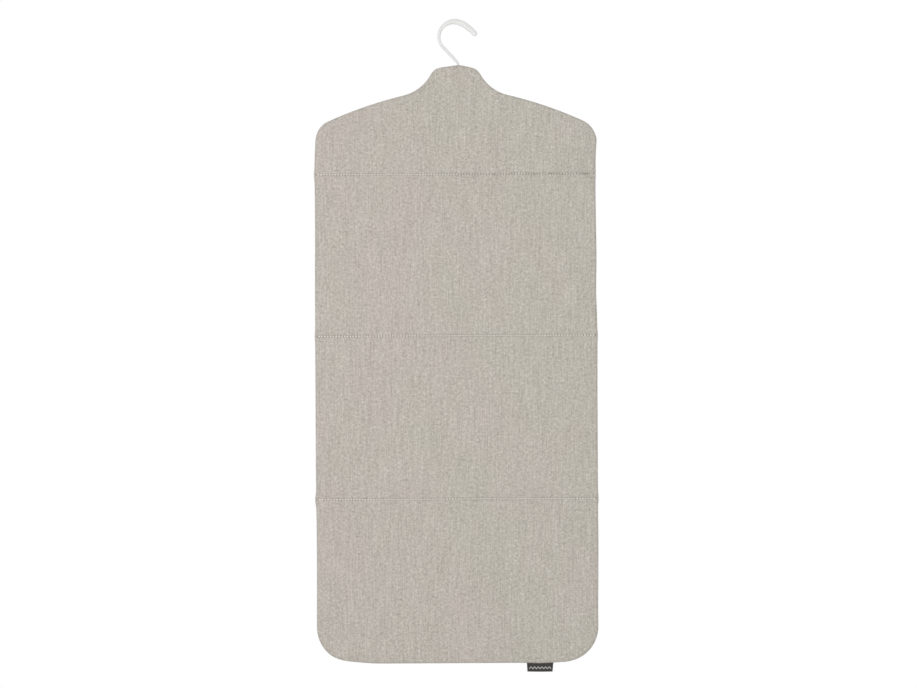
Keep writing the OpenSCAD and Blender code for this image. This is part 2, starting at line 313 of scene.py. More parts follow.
def make_object(name, verts, faces, uv=None, sharp=50):
    """A mesh object with smooth faces, sharp only at steep edges, and with its cloth coordinates."""
    mesh = bpy.data.meshes.new(name)
    mesh.from_pydata([tuple(v) for v in verts], [], [tuple(f) for f in faces])
    if uv is not None:
        layer = mesh.uv_layers.new(name="cloth")
        corners = np.zeros(len(mesh.loops), np.int32)
        mesh.loops.foreach_get("vertex_index", corners)
        layer.data.foreach_set("uv", np.asarray(uv, np.float32)[corners].ravel())
    mesh.polygons.foreach_set("use_smooth", [True] * len(mesh.polygons))
    mesh.set_sharp_from_angle(angle=math.radians(sharp))
    mesh.update()
    return linked(name, mesh)


def vertex_normals(verts, faces):
    normals = np.zeros_like(verts)
    for face in faces:
        p = verts[list(face)]
        n = np.cross(p[2] - p[0], p[-1] - p[1]) if len(face) == 4 else np.cross(p[1] - p[0], p[2] - p[0])
        normals[list(face)] += n
    return normals / np.maximum(np.linalg.norm(normals, axis=1), 1e-12)[:, None]


def rim_edges(faces):
    """The directed edges that only one face has."""
    seen = {}
    for face in faces:
        for a, b in zip(face, face[1:] + face[:1]):
            seen[(a, b)] = True
    return [edge for edge in seen if (edge[1], edge[0]) not in seen]


def thickened(verts, faces, uv, thickness):
    """A closed sheet from its outside: the inside is thickness further in, and walls close the rim."""
    n = len(verts)
    inner = verts - vertex_normals(verts, faces) * thickness
    walls = [(b, a, a + n, b + n) for a, b in rim_edges(faces)]
    inside = [tuple(i + n for i in face[::-1]) for face in faces]
    return np.concatenate([verts, inner]), faces + inside + walls, np.concatenate([uv, uv])


FOLD_COLUMN = 4.0 * MM
ROW_PITCH = 5.0 * MM
NEAR_FOLD_ROWS = [1.2 * MM, 2.8 * MM, 5 * MM, 8 * MM, 12 * MM]
GRID_TO_EDGE = 2.2 * MM
GRID_TO_RING = 2.8 * MM


def fold_columns(inset, spacing):
    """Places across a fold's edge between the innermost rings, without those two ends."""
    reach = half_w - inset
    steps = steps_of(2 * reach, spacing)
    return np.linspace(-reach, reach, steps + 1)[1:-1]


def panel_rows(panel):
    """Heights of the layout's inner points, closer together beside the folds."""
    k = PANELS.index(panel)
    top = neck_z if k == 0 else seam_z[k - 1] - fold_half
    bottom = bottom_z if k == len(PANELS) - 1 else seam_z[k] + fold_half
    rows = []
    low, high = bottom, top
    if k < len(PANELS) - 1:
        rows += [bottom + d for d in NEAR_FOLD_ROWS]
        low = rows[-1]
    if k > 0:
        rows += [top - d for d in NEAR_FOLD_ROWS]
        high = rows[-1]
    steps = steps_of(high - low, ROW_PITCH)
    return sorted(rows + list(np.linspace(low, high, steps + 1)[1:-1]))


def inside(polygon, points):
    """Which points lie in the polygon."""
    found = np.zeros(len(points), bool)
    for a, b in zip(polygon, np.roll(polygon, -1, axis=0)):
        crosses = (a[1] > points[:, 1]) != (b[1] > points[:, 1])
        rise = b[1] - a[1] if b[1] != a[1] else 1e-12
        found ^= crosses & (points[:, 0] < a[0] + (points[:, 1] - a[1]) * (b[0] - a[0]) / rise)
    return found


def inner_polygon(panel, edges):
    """The edge of the part inside the rings: the innermost rings joined along the folds."""
    k = PANELS.index(panel)
    inset = half_w - abs(edges[0][0][0])
    across = fold_columns(inset, FOLD_COLUMN)
    if panel in ("shoulder", "lower"):
        height = edges[0][0][1]
        runs = [edges[0], np.column_stack([across, np.full(len(across), height)])]
    else:
        top, bottom = seam_z[k - 1] - fold_half, seam_z[k] + fold_half
        runs = [edges[0], np.column_stack([across[::-1], np.full(len(across), bottom)]),
                edges[1], np.column_stack([across, np.full(len(across), top)])]
    return np.concatenate(runs)


def layout(panel, insets):
    """A panel's flat layout: its points, each point's ring or -1 inside the rings, and its faces.
    The rings are strips of quads, and the inside is a grid."""
    loops = [free_edges(panel, inset) for inset in insets]
    points, ring_of, faces = [], [], []
    for run in range(len(loops[0])):
        first = len(points)
        count = len(loops[0][run])
        for k, edges in enumerate(loops):
            points += list(edges[run])
            ring_of += [k] * count
        strip = []
        for k in range(len(insets) - 1):
            for i in range(count - 1):
                a = first + k * count + i
                strip.append((a, a + count, a + count + 1, a + 1))
        faces += strip if turns_left(points, strip[0]) else [f[::-1] for f in strip]
    polygon = inner_polygon(panel, loops[0])
    columns = fold_columns(insets[0], FOLD_COLUMN)
    grid = np.array([(x, z) for z in panel_rows(panel) for x in columns])
    grid = grid[inside(polygon, grid)]
    gap = np.min(np.linalg.norm(grid[:, None] - polygon[None], axis=2), axis=1)
    near_fold = to_seams(grid[:, 1]) < fold_half + NEAR_FOLD_ROWS[-1]
    to_edge = np.min(np.linalg.norm(grid[:, None] - np.concatenate(loops[0])[None], axis=2), axis=1)
    grid = grid[np.where(near_fold, to_edge > GRID_TO_EDGE, gap > GRID_TO_RING)]
    corners = [Vector(p) for p in np.concatenate([polygon, grid])]
    outline = list(range(len(polygon)))
    out, _, tris, _, _, _ = geometry.delaunay_2d_cdt(corners, [], [outline], 1, 1e-7)
    known = {tuple(np.round(p, 7)): i for i, p in enumerate(points) if ring_of[i] == 0}
    index = []
    for p in out:
        key = tuple(np.round(np.array(p), 7))
        if key not in known:
            known[key] = len(points)
            points.append(np.array(p))
            ring_of.append(-1)
        index.append(known[key])
    tris = [tuple(index[i] for i in tri) for tri in tris]
    faces += [tri if turns_left(points, tri) else tri[::-1] for tri in tris]
    return np.array(points), np.array(ring_of), faces


def turns_left(points, face):
    """Whether the face goes round anticlockwise in the layout."""
    p = [points[i] for i in face]
    return sum(a[0] * b[1] - a[1] * b[0] for a, b in zip(p, p[1:] + p[:1])) > 0


def quads_joined(faces, verts):
    """The same mesh with neighbouring triangles joined to quads where they make good ones."""
    bm = bmesh.new()
    made = [bm.verts.new(v) for v in verts]
    for face in faces:
        bm.faces.new([made[i] for i in face])
    bm.verts.index_update()
    tris = [f for f in bm.faces if len(f.verts) == 3]
    bmesh.ops.join_triangles(bm, faces=tris, angle_face_threshold=0.6, angle_shape_threshold=0.7)
    joined = [tuple(v.index for v in f.verts) for f in bm.faces]
    bm.free()
    return joined


def placed(points, ring_of, side, edge_rings, height):
    """The outside of a cover over a layout."""
    x, z = points[:, 0], points[:, 1]
    share = np.array([1.0 if k < 0 else edge_rings[k][1] for k in ring_of])
    real_x, real_z = settled(x, z)
    y = SIDES[side] * height * share
    return np.column_stack([real_x, y, real_z])


def cloth_coordinates(panel, points):
    """Cloth coordinates in metres: flat on the face, and running on round the rolled edge."""
    uv = points.copy()
    start = 0
    edges_flat = free_edges(panel, rings[FLAT_RING][0])
    edges_out = free_edges(panel, 0)
    for run, (flat, out) in enumerate(zip(edges_flat, edges_out)):
        normal = (out - flat) / np.linalg.norm(out - flat, axis=1)[:, None]
        count = len(flat)
        for k in range(len(rings)):
            span = slice(start + k * count, start + (k + 1) * count)
            uv[span] = flat + normal * ring_lengths[k]
        start += count * len(rings)
    return uv


# ---------------------------------------------------------------- cloth simulation

CLOTH_FRAMES = 16
CLOTH_RISE = 0.9 * MM
HELD_AT_FOLD = 1.5 * MM


def relaxed(name, verts, faces, free, side):
    """The cover after a short cloth simulation. It is a little too large for the panel, and is pushed
    off its padding by a light pressure. Only the free points move, outwards, and by CLOTH_RISE at most."""
    obj = make_object(name + "_cloth", verts, faces)
    pins = obj.vertex_groups.new(name="pins")
    pins.add([int(i) for i in np.flatnonzero(~free)], 1.0, "REPLACE")
    cloth = obj.modifiers.new("Cloth", "CLOTH")
    cloth.settings.quality = 4
    cloth.settings.mass = 0.2
    cloth.settings.tension_stiffness = 12
    cloth.settings.compression_stiffness = 12
    cloth.settings.shear_stiffness = 6
    cloth.settings.bending_stiffness = 0.6
    cloth.settings.vertex_group_mass = "pins"
    cloth.settings.shrink_min = -0.004
    cloth.settings.use_pressure = True
    cloth.settings.uniform_pressure_force = 1.2
    cloth.settings.effector_weights.gravity = 0
    cloth.collision_settings.use_collision = False
    cloth.collision_settings.use_self_collision = False
    scene = bpy.context.scene
    for step in range(1, CLOTH_FRAMES + 1):
        scene.frame_set(step)
    dg = bpy.context.evaluated_depsgraph_get()
    result = obj.evaluated_get(dg).to_mesh()
    moved = np.array([v.co for v in result.vertices])
    obj.evaluated_get(dg).to_mesh_clear()
    bpy.data.objects.remove(obj)
    scene.frame_set(1)
    rise = np.clip((moved[:, 1] - verts[:, 1]) * SIDES[side], 0, CLOTH_RISE) * free
    room = np.maximum(half_t + FOLD_ROOM - np.abs(verts[:, 1]), 0.01 * MM)
    out = verts.copy()
    out[:, 1] += SIDES[side] * held_in(rise, room)
    return out


# ---------------------------------------------------------------- materials


class Nodes:
    """Short ways to add shader nodes to one material."""

    def __init__(self, name):
        self.material = bpy.data.materials.new(name)
        self.material.use_nodes = True
        self.tree = self.material.node_tree
        self.shader = next(n for n in self.tree.nodes if n.type == "BSDF_PRINCIPLED")

    def add(self, kind, **settings):
        node = self.tree.nodes.new(kind)
        for key, value in settings.items():
            setattr(node, key, value)
        return node

    def feed(self, socket, value):
        if hasattr(value, "is_output"):
            self.tree.links.new(value, socket)
        else:
            socket.default_value = value

    def math(self, operation, *values):
        node = self.add("ShaderNodeMath", operation=operation)
        for socket, value in zip(node.inputs, values):
            self.feed(socket, value)
        return node.outputs[0]

    def times(self, a, b):
        return self.math("MULTIPLY", a, b)

    def plus(self, a, b):
        return self.math("ADD", a, b)

    def mapped(self, source, scale, place=(0, 0, 0)):
        node = self.add("ShaderNodeMapping")
        self.feed(node.inputs["Vector"], source)
        node.inputs["Scale"].default_value = scale
        node.inputs["Location"].default_value = place
        return node.outputs[0]

    def noise(self, vector, detail=2.0, roughness=0.5):
        node = self.add("ShaderNodeTexNoise")
        self.feed(node.inputs["Vector"], vector)
        node.inputs["Scale"].default_value = 1.0
        node.inputs["Detail"].default_value = detail
        node.inputs["Roughness"].default_value = roughness
        return node.outputs["Fac"]

    def noise_at(self, place, scale, detail=2.0, roughness=0.5):
        return self.noise(self.mapped(place, scale), detail, roughness)

    def ramp(self, value, stops):
        node = self.add("ShaderNodeValToRGB")
        self.feed(node.inputs["Fac"], value)
        bar = node.color_ramp.elements
        while len(bar) < len(stops):
            bar.new(0.5)
        for element, (place, colour) in zip(bar, stops):
            element.position = place
            element.color = (*colour, 1)
        return node.outputs["Color"]

    def mix(self, factor, a, b, blend_type="MIX"):
        node = self.add("ShaderNodeMix", data_type="RGBA", blend_type=blend_type)
        self.feed(node.inputs["Factor"], factor)
        colour_inputs = [s for s in node.inputs if s.type == "RGBA"]
        for socket, value in zip(colour_inputs, (a, b)):
            self.feed(socket, value if hasattr(value, "is_output") else (*value, 1))
        return next(s for s in node.outputs if s.type == "RGBA")

    def split(self, vector):
        node = self.add("ShaderNodeSeparateXYZ")
        self.feed(node.inputs[0], vector)
        return node.outputs[0], node.outputs[1], node.outputs[2]

    def join(self, x, y, z=0.0):
        node = self.add("ShaderNodeCombineXYZ")
        for socket, value in zip(node.inputs, (x, y, z)):
            self.feed(socket, value)
        return node.outputs[0]

    def bump(self, height, distance):
        node = self.add("ShaderNodeBump")
        self.feed(node.inputs["Height"], height)
        node.inputs["Distance"].default_value = distance
        self.tree.links.new(node.outputs["Normal"], self.shader.inputs["Normal"])

    def set(self, **values):
        for key, value in values.items():
            self.feed(self.shader.inputs[key.replace("_", " ").title().replace("Ior", "IOR")], value)

    def cloth_place(self):
        return self.add("ShaderNodeUVMap", uv_map="cloth").outputs[0]

    def object_place(self):
        return self.add("ShaderNodeTexCoord").outputs["Object"]


YARN = 0.85 * MM


def cover_cloth():
    """Plain-woven melange: yarns of uneven tone, slubs along the warp, pale and dark flecks, and painted shade
    that darkens the cloth in the needle holes.
    """
    n = Nodes("cover_cloth")
    place = n.cloth_place()
    u, v, _ = n.split(n.mapped(place, (1 / YARN, 1 / YARN, 1)))
    across = n.math("SINE", n.times(u, math.pi))
    along = n.math("SINE", n.times(v, math.pi))
    warp_up = n.math("GREATER_THAN", n.times(across, along), 0.0)
    warp_ridge = n.math("ABSOLUTE", across)
    weft_ridge = n.math("ABSOLUTE", along)
    weave = n.plus(n.times(warp_up, warp_ridge),
                   n.times(n.math("SUBTRACT", 1.0, warp_up), weft_ridge))
    warp_line = n.times(n.math("FLOOR", u), 3.71)
    weft_line = n.times(n.math("FLOOR", v), 2.93)
    grain = n.noise_at(place, (1 / (3.0 * MM), 1 / (3.6 * MM), 1), 1, 0.5)

    def share(source, weight, mean=0.5):
        return n.times(n.math("SUBTRACT", source, mean), weight)

    warp_slub = n.noise(n.join(warp_line, n.times(v, 0.2), 7.0), 1)
    warp_streak = n.noise(n.join(warp_line, n.times(v, 0.02)), 1)
    weft_slub = n.noise(n.join(n.times(u, 0.2), weft_line, 3.0), 1)
    warp = n.plus(share(warp_slub, 0.8), share(warp_streak, 0.85))
    weft = share(weft_slub, 1.05)
    tone = n.plus(n.times(warp_up, warp),
                  n.times(n.math("SUBTRACT", 1.0, warp_up), weft))
    tone = n.plus(tone, share(grain, 0.42))
    tone = n.plus(tone, share(weave, 0.25, 0.64))
    base = n.ramp(n.plus(tone, 0.5), [
        (0.12, (0.285, 0.258, 0.224)),
        (0.5, (0.512, 0.475, 0.428)),
        (0.88, (0.745, 0.707, 0.650)),
    ])
    drift = n.noise(n.mapped(place, (1 / (110 * MM), 1 / (160 * MM), 1), (0.35, 0.2, 0)), 2)
    sideways = n.times(n.split(place)[0], 1.6)
    warm = n.mix(n.plus(n.times(n.math("SUBTRACT", drift, 0.3), 2.5), sideways),
                 (1.014, 0.994, 1.004), (0.988, 1.004, 0.978))
    colour = n.mix(1.0, base, warm, "MULTIPLY")
    # Painted shade: the cloth is mixed towards near-black where the needle holes sink in, in place of the shadow
    # in them.
    painted_pit_shade = n.add("ShaderNodeAttribute", attribute_name="painted_pit_shade").outputs["Fac"]
    colour = n.mix(n.times(painted_pit_shade, 0.72), colour, (0.16, 0.145, 0.125))
    n.set(base_color=colour, specular_ior_level=0.2, sheen_weight=0.08, sheen_roughness=0.5)
    n.set(roughness=n.plus(0.8, n.times(grain, 0.2)))
    height = n.plus(weave, n.times(n.plus(grain, warp_slub), 0.5))
    n.bump(height, 0.16 * MM)
    return n.material


def felt():
    n = Nodes("needled_felt")
    place = n.object_place()
    fibres = n.noise_at(place, (260, 900, 120), 6, 0.65)
    clumps = n.noise_at(place, (60, 60, 60), 3)
    colour = n.ramp(n.plus(n.times(fibres, 0.6), n.times(clumps, 0.4)),
                    [(0.3, (0.62, 0.59, 0.53)), (0.7, (0.88, 0.86, 0.8))])
    n.set(base_color=colour, sheen_weight=0.3, roughness=n.plus(0.85, n.times(fibres, 0.15)))
    n.bump(fibres, 0.5 * MM)
    return n.material


def thread():
    n = Nodes("sewing_thread")
    place = n.cloth_place()
    u, v, _ = n.split(place)
    twist = n.math("SINE", n.plus(n.times(u, 9000), n.times(v, 5500)))
    fuzz = n.noise_at(place, (2500, 2500, 1), 2)
    colour = n.ramp(n.plus(n.times(twist, 0.12), fuzz),
                    [(0.3, (0.84, 0.81, 0.75)), (0.7, (0.98, 0.97, 0.93))])
    n.set(base_color=colour, sheen_weight=0.2, roughness=n.plus(0.55, n.times(fuzz, 0.25)))
    n.bump(n.plus(twist, fuzz), 0.08 * MM)
    return n.material


def enamel():
    n = Nodes("hook_enamel")
    place = n.object_place()
    peel = n.noise_at(place, (700, 700, 700), 2)
    cloud = n.noise_at(place, (70, 70, 70), 2)
    colour = n.ramp(cloud, [(0.3, (0.685, 0.685, 0.678)), (0.7, (0.735, 0.735, 0.725))])
    n.set(base_color=colour, roughness=n.plus(0.42, n.times(cloud, 0.12)), coat_weight=0.1)
    n.bump(peel, 0.008 * MM)
    return n.material


def ribbon():
    """Dark satin ribbon with a ribbed weave and a pale woven zigzag."""
    n = Nodes("label_ribbon")
    place = n.cloth_place()
    u, v, _ = n.split(n.mapped(place, (1 / (0.45 * MM), 1 / (0.45 * MM), 1)))
    rib = n.math("ABSOLUTE", n.math("SINE", n.times(v, math.pi)))
    cross = n.math("ABSOLUTE", n.math("SINE", n.times(u, math.pi)))
    fuzz = n.noise_at(place, (900, 900, 1), 3)
    dark = n.ramp(n.plus(n.times(rib, 0.4), n.times(fuzz, 0.6)),
                  [(0.2, (0.012, 0.010, 0.009)), (0.8, (0.045, 0.040, 0.035))])
    x, y, _ = n.split(place)
    wave = n.math("ABSOLUTE", n.math("SUBTRACT", n.math("FRACT", n.math("DIVIDE", x, 5.2 * MM)), 0.5))
    drop = n.plus(y, n.times(n.math("SUBTRACT", wave, 0.25), 5.5 * MM))
    line = n.math("LESS_THAN", n.math("ABSOLUTE", drop), 0.75 * MM)
    band = n.math("LESS_THAN", n.math("ABSOLUTE", x), 15.6 * MM)
    pattern = n.times(line, band)
    pale = n.ramp(fuzz, [(0.2, (0.36, 0.35, 0.33)), (0.8, (0.62, 0.61, 0.58))])
    n.set(base_color=n.mix(pattern, dark, pale), sheen_weight=0.15,
          roughness=n.plus(0.6, n.times(fuzz, 0.25)))
    n.bump(n.plus(n.plus(rib, n.times(cross, 0.5)), pattern), 0.08 * MM)
    return n.material


def foil():
    n = Nodes("heat_foil")
    place = n.object_place()
    x, _, z = n.split(place)
    diamonds = n.times(n.math("SINE", n.times(n.plus(x, z), 900)),
                      n.math("SINE", n.times(n.math("SUBTRACT", x, z), 900)))
    creases = n.noise_at(place, (45, 45, 45), 5, 0.6)
    colour = n.ramp(creases, [(0.3, (0.62, 0.63, 0.65)), (0.7, (0.86, 0.87, 0.88))])
    n.set(base_color=colour, metallic=1.0, roughness=n.plus(0.22, n.times(creases, 0.25)))
    n.bump(n.plus(n.times(diamonds, 0.5), n.times(creases, 3)), 0.2 * MM)
    return n.material


def hardboard():
    n = Nodes("stiffener_board")
    place = n.object_place()
    fibres = n.noise_at(place, (600, 600, 220), 6, 0.7)
    specks = n.noise_at(place, (1500, 1500, 1500), 2)
    colour = n.ramp(n.plus(n.times(fibres, 0.7), n.times(specks, 0.3)),
                    [(0.3, (0.10, 0.055, 0.028)), (0.5, (0.22, 0.13, 0.07)), (0.72, (0.36, 0.24, 0.14))])
    n.set(base_color=colour, roughness=n.plus(0.6, n.times(fibres, 0.3)))
    n.bump(fibres, 0.1 * MM)
    return n.material


def nylon():
    n = Nodes("anchor_nylon")
    place = n.object_place()
    grain = n.noise_at(place, (3000, 3000, 3000), 2)
    flow = n.noise_at(place, (120, 120, 50), 3)
    colour = n.ramp(flow, [(0.3, (0.065, 0.068, 0.072)), (0.7, (0.095, 0.098, 0.104))])
    n.set(base_color=colour, roughness=n.plus(0.45, n.times(grain, 0.2)))
    n.bump(grain, 0.03 * MM)
    return n.material


def turned_metal(name, dark, light, streak_scale):
    n = Nodes(name)
    place = n.object_place()
    streaks = n.noise_at(place, streak_scale, 4)
    cloud = n.noise_at(place, (300, 300, 300), 2)
    colour = n.ramp(n.plus(n.times(streaks, 0.5), n.times(cloud, 0.5)),
                    [(0.3, dark), (0.7, light)])
    n.set(base_color=colour, metallic=1.0, roughness=n.plus(0.25, n.times(streaks, 0.2)))
    n.bump(streaks, 0.02 * MM)
    return n.material


def floor_paint():
    n = Nodes("floor_paint")
    place = n.object_place()
    cloud = n.noise_at(place, (3, 3, 3), 3)
    n.set(base_color=n.ramp(cloud, [(0.3, (0.70, 0.70, 0.70)), (0.7, (0.74, 0.74, 0.74))]), roughness=0.8)
    return n.material


MATERIALS = {
    "cover_fabric": cover_cloth(),
    "padding_felt": felt(),
    "heat_foil": foil(),
    "stiffener_board": hardboard(),
    "sewing_thread": thread(),
    "hook_enamel": enamel(),
    "anchor_nylon": nylon(),
    "rivet_aluminium": turned_metal("rivet_aluminium", (0.6, 0.6, 0.61), (0.8, 0.8, 0.81), (900, 900, 900)),
    "washer_steel": turned_metal("washer_steel", (0.42, 0.43, 0.46), (0.6, 0.61, 0.64), (1400, 1400, 200)),
    "label_ribbon": ribbon(),
}


def finished(obj, slot):
    obj.data.materials.clear()
    obj.data.materials.append(MATERIALS[slot])


# ---------------------------------------------------------------- covers

SHANK_HOLE_R = 2.0 * MM
SHANK_HOLE_DEPTH = 4 * MM


def opened_for_shank(verts, side):
    """The two covers part around the shank where it leaves the neck's seam."""
    dx = verts[:, 0] - shank_x
    eyelet = np.sqrt(np.maximum(SHANK_HOLE_R ** 2 - dx ** 2, 0))
    at_top = verts[:, 2] > neck_z - SHANK_HOLE_DEPTH
    reach = np.abs(verts[:, 1])
    opened = np.where(at_top & (reach < SHANK_HOLE_R), np.maximum(reach, eyelet), reach)
    out = verts.copy()
    out[:, 1] = SIDES[side] * opened
    return out


def make_cover(panel, side):
    points, ring_of, faces = layout(panel, [inset for inset, _ in rings])
    height = cloth_height(side, points[:, 0], points[:, 1])
    verts = placed(points, ring_of, side, rings, height)
    faces = quads_joined(faces, verts)
    if side == "back":
        faces = [f[::-1] for f in faces]
    uv = cloth_coordinates(panel, points)
    name = f"{side}_cover_{panel}"
    free = (ring_of <= 0) & (to_seams(points[:, 1]) > fold_half + HELD_AT_FOLD)
    verts = relaxed(name, verts, faces, free, side)
    if panel == "shoulder":
        verts = opened_for_shank(verts, side)
    cover = make_object(f"{name}_cloth", *thickened(verts, faces, uv, cover_t))
    finished(cover, "cover_fabric")
    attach(cover, panel)
    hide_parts(name)


for panel in PANELS:
    for side in SIDES:
        make_cover(panel, side)

# ---------------------------------------------------------------- felt padding


def shells_joined(outer, inner, faces):
    """A closed mesh from two shells with the same faces."""
    count = len(outer)
    walls = [(b, a, a + count, b + count) for a, b in rim_edges(faces)]
    other = [tuple(i + count for i in face[::-1]) for face in faces]
    return np.concatenate([outer, inner]), faces + other + walls


FELT_GAP = 0.05 * MM
FELT_INSET = 1.2 * MM
FELT_ROLL = 2.6 * MM
FELT_FLAT = 3.4 * MM
FELT_DIMPLE = 0.12 * MM
FELT_DIMPLE_PITCH = 6 * MM
felt_turns = [0, 25, 50, 72, 90]
felt_rings = [(FELT_INSET + FELT_FLAT, 1.0)]
felt_rings += [(FELT_INSET + FELT_ROLL * (1 - math.sin(math.radians(a))), math.cos(math.radians(a)))
               for a in felt_turns]


def felt_height(x, z):
    """How far the padding's front lies from the board's middle: just inside the cloth."""
    dimples = FELT_DIMPLE * (0.5 + 0.5 * smooth_noise(x, z, FELT_DIMPLE_PITCH, 21))
    return cloth_height("front", x, z) - cover_t - FELT_GAP - np.maximum(dimples, 0)


def make_padding(panel):
    """The panel's padding: domed over its front edges, and flat where it lies on the foil."""
    points, ring_of, faces = layout(panel, [inset for inset, _ in felt_rings])
    front = placed(points, ring_of, "front", felt_rings, felt_height(points[:, 0], points[:, 1]))
    back = front.copy()
    back[:, 1] = foil_front - FELT_GAP
    front[:, 1] = np.minimum(front[:, 1], -0.2 * MM)
    faces = quads_joined(faces, front)
    name = f"padding_{panel}"
    pad = make_object(f"{name}_felt", *shells_joined(front, back, faces))
    finished(pad, "padding_felt")
    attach(pad, panel)
    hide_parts(name)


for panel in PANELS:
    make_padding(panel)

# ---------------------------------------------------------------- folds

# Rows of a fold from its middle outwards, and columns across a stitch from its needle hole
FOLD_HALF_ROWS = np.array([0.4, 0.8, 1.25, 1.75, 2.3, 2.9, 3.55, 4.25, 5.0]) * MM
STITCH_COLUMNS = np.array([-1.35, -0.9, -0.45, 0, 0.45, 0.9, 1.35]) * MM
STITCH_PITCH = 4.0 * MM
STITCH_END = 2.5 * MM
HOLE_DEPTH = 1.2 * MM
HOLE_RADIUS = 0.9 * MM


def fold_layout(seam, insets):
    """A fold's flat layout: a grid with its rings at both ends, and each column's ring or -1."""
    ends = [half_w - inset for inset in insets]
    across = (stitch_holes()[:, None] + STITCH_COLUMNS[None]).ravel()
    across = list(across[np.abs(across) < half_w - insets[0] - 0.2 * MM])
    columns = [-e for e in reversed(ends)] + across + ends
    column_ring = list(range(len(ends) - 1, -1, -1)) + [-1] * len(across) + list(range(len(ends)))
    rows = seam_z[seam - 1] + np.concatenate([-FOLD_HALF_ROWS[::-1], [0], FOLD_HALF_ROWS])
    points = np.array([(x, z) for z in rows for x in columns])
    n = len(columns)
    faces = [(r * n + c, r * n + c + 1, (r + 1) * n + c + 1, (r + 1) * n + c)
             for r in range(len(rows) - 1) for c in range(n - 1)]
    return points, np.array(column_ring * len(rows)), faces


def stitch_holes():
    count = int(2 * (half_w - STITCH_END) / STITCH_PITCH)
    return (np.arange(count + 1) - count / 2) * STITCH_PITCH


def needle_dips(seam, x, z):
    """How far the cloth is drawn in around the needle holes."""
    holes = stitch_holes()
    nearest = np.abs(x - holes[np.argmin(np.abs(x[:, None] - holes[None]), axis=1)])
    return HOLE_DEPTH * bell(nearest, HOLE_RADIUS) * bell(z - seam_z[seam - 1], 1.2 * HOLE_RADIUS)


def make_fold(seam, side):
    points, ring_of, faces = fold_layout(seam, [inset for inset, _ in rings])
    x, z = points[:, 0], points[:, 1]
    height = cloth_height(side, x, z) - needle_dips(seam, x, z)
    verts = placed(points, ring_of, side, rings, height)
    if side == "back":
        faces = [f[::-1] for f in faces]
    uv = points.copy()
    on_ring = ring_of >= 0
    out = np.array(ring_lengths)[np.maximum(ring_of, 0)] + half_w - rings[FLAT_RING][0]
    uv[on_ring, 0] = (np.sign(x) * out)[on_ring]
    fold = make_object(f"{side}_fold_{seam}_cloth", *thickened(verts, faces, uv, cover_t))
    # Mask of the needle holes, for the shade that the cloth material paints into them.
    painted_pit_shade = np.tile(needle_dips(seam, x, z) / HOLE_DEPTH, 2)
    fold.data.attributes.new("painted_pit_shade", "FLOAT", "POINT").data.foreach_set("value", painted_pit_shade.astype(np.float32))
    finish_fold(fold, "cover_fabric", f"{side}_fold_{seam}")


def finish_fold(obj, slot, node):
    """Gives a fold's piece its finish, bakes its placement into its mesh and hides the CAD node it replaces."""
    finished(obj, slot)
    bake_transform(obj)
    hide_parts(node)


def make_fold_padding(seam):
    """The padding that runs through a fold, pinched flat by the stitches."""
    insets = [FELT_INSET + FELT_FLAT, FELT_INSET + 1.2 * MM, FELT_INSET + 0.3 * MM, FELT_INSET]
    shares = [1.0, 0.9, 0.6, 0.3]
    points, ring_of, faces = fold_layout(seam, insets)
    x, z = points[:, 0], points[:, 1]
    share = np.array([1.0 if k < 0 else shares[k] for k in ring_of])
    real_x, real_z = settled(x, z)
    shells = []
    for side in SIDES:
        height = (cloth_height(side, x, z) - cover_t - FELT_GAP - HOLE_DEPTH) * share
        shells.append(np.column_stack([real_x, SIDES[side] * height, real_z]))
    felt_piece = make_object(f"fold_padding_{seam}_felt", *shells_joined(*shells, faces))
    finish_fold(felt_piece, "padding_felt", f"fold_padding_{seam}")


THREAD_R = 0.55 * MM
THREAD_FLAT = 1.25
THREAD_SIDES = 8
STEPS_PER_STITCH = 12
THREAD_WOBBLE = 0.3 * MM
THREAD_UNEVEN = 0.5 * MM
THREAD_NOISE_PITCH = 3 * MM
THREAD_PROUD_BEHIND = 0.1 * MM
THREAD_BELOW_HOLE = 0.6 * MM
# How far the thread stands out of the cloth along each seam: place from left to right, height
THREAD_PROUD = {
    1: [(0, 0.1), (0.4, -0.1), (0.55, -0.5), (1, -0.6)],
    2: [(0, 0.35), (0.4, 0.25), (1, 0.4)],
    3: [(0, 0.4), (0.35, 0.45), (0.6, 0.3), (1, 0.25)],
}


def swept(line, normals, radii, depths, sides, power=1.0):
    """Points and faces of a closed tube along a line in the board's plane. Each section is as wide as
    its radius in that plane and as deep as its depth across it, and rounder for a higher power."""
    verts = []
    turns = np.radians(np.arange(sides) * 360 / sides)
    c = np.sign(np.cos(turns)) * np.abs(np.cos(turns)) ** power
    s = np.sign(np.sin(turns)) * np.abs(np.sin(turns)) ** power
    for point, normal, radius, depth in zip(line, normals, radii, depths):
        for a, b in zip(c, s):
            verts.append(np.array(point) + np.array(normal) * a * radius + np.array([0, b * depth, 0]))
    return np.array(verts), tube_faces(len(line), sides)


def tube_faces(sections, sides):
    """Faces of a tube with closed ends, from the number of its sections and of points in each."""
    faces = []
    for k in range(sections - 1):
        for i in range(sides):
            j = (i + 1) % sides
            a, b = k * sides, (k + 1) * sides
            faces.append((a + i, a + j, b + j, b + i))
    faces.append(tuple(range(sides - 1, -1, -1)))
    faces.append(tuple((sections - 1) * sides + i for i in range(sides)))
    return faces


def facing_out(verts, faces):
    """The same faces, turned over if the closed mesh is inside out."""
    volume = 0.0
    for face in faces:
        p = verts[list(face)]
        for i in range(1, len(face) - 1):
            volume += np.dot(p[0], np.cross(p[i], p[i + 1]))
    return faces if volume > 0 else [f[::-1] for f in faces]


